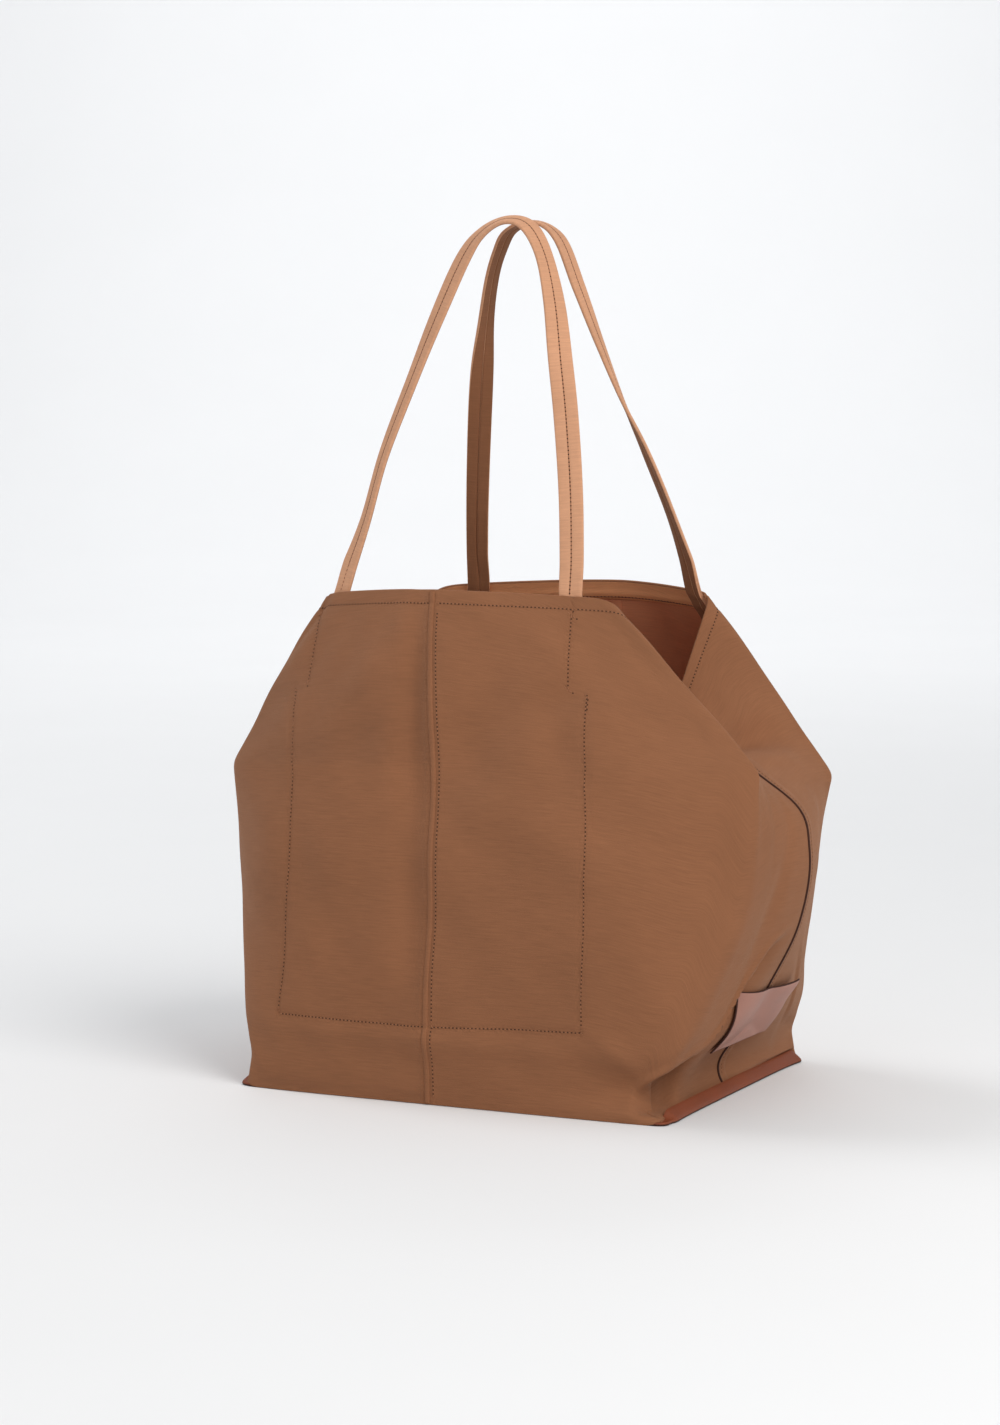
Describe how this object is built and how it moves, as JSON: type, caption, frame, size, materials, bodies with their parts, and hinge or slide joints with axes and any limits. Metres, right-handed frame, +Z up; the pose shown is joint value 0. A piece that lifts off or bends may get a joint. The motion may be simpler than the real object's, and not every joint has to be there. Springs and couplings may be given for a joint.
{
  "type": "shopper_bag",
  "caption": "Soft open-topped shopper bag with a boxy base, tucked sides, an inside pocket and two shoulder straps that swing at the rim.",
  "frame": {"origin": "on the floor, at the middle of the base", "axes": "+Z up; +X towards the bag's right side as seen from the front; -Y is the front, the wall with the inside pocket"},
  "size_m": [0.5118, 0.3052, 0.7034],
  "materials": {
    "tan_canvas": "matte woven face",
    "russet_canvas_back": "matte brushed back",
    "cognac_leather": "smooth, satin",
    "rose_leather": "smooth, satin",
    "base_board_fibre": "pressed fibre board"
  },
  "bodies": {
    "bag": {"front_panel_left": "tan_canvas", "front_panel_right": "tan_canvas", "back_panel_left": "tan_canvas", "back_panel_right": "tan_canvas", "front_rim_hem": "tan_canvas", "back_rim_hem": "tan_canvas", "front_centre_welt": "tan_canvas", "back_centre_welt": "tan_canvas", "side_seam_lap_right": "tan_canvas", "side_seam_lap_left": "tan_canvas", "inner_pocket": "russet_canvas_back", "inner_pocket_hem": "russet_canvas_back", "label_patch": "rose_leather", "base_panel": "cognac_leather", "base_board": "base_board_fibre", "base_lining": "russet_canvas_back", "front_strap_tail_left": "tan_canvas", "front_strap_tail_right": "tan_canvas", "back_strap_tail_left": "tan_canvas", "back_strap_tail_right": "tan_canvas"},
    "front_shoulder_strap": {"front_strap": "tan_canvas"},
    "back_shoulder_strap": {"back_strap": "tan_canvas"}
  },
  "joints": [
    {"name": "front_strap_swing", "type": "hinge", "parent": "bag", "child": "front_shoulder_strap", "pos_m": [-0.03444, -0.07336, 0.40025], "axis": [0.999, -0.0439, 0.0048], "range_deg": [0, 160]},
    {"name": "back_strap_swing", "type": "hinge", "parent": "bag", "child": "back_shoulder_strap", "pos_m": [0.02218, 0.07347, 0.40072], "axis": [-0.9993, 0.0382, 0.0004], "range_deg": [0, 160]}
  ]
}
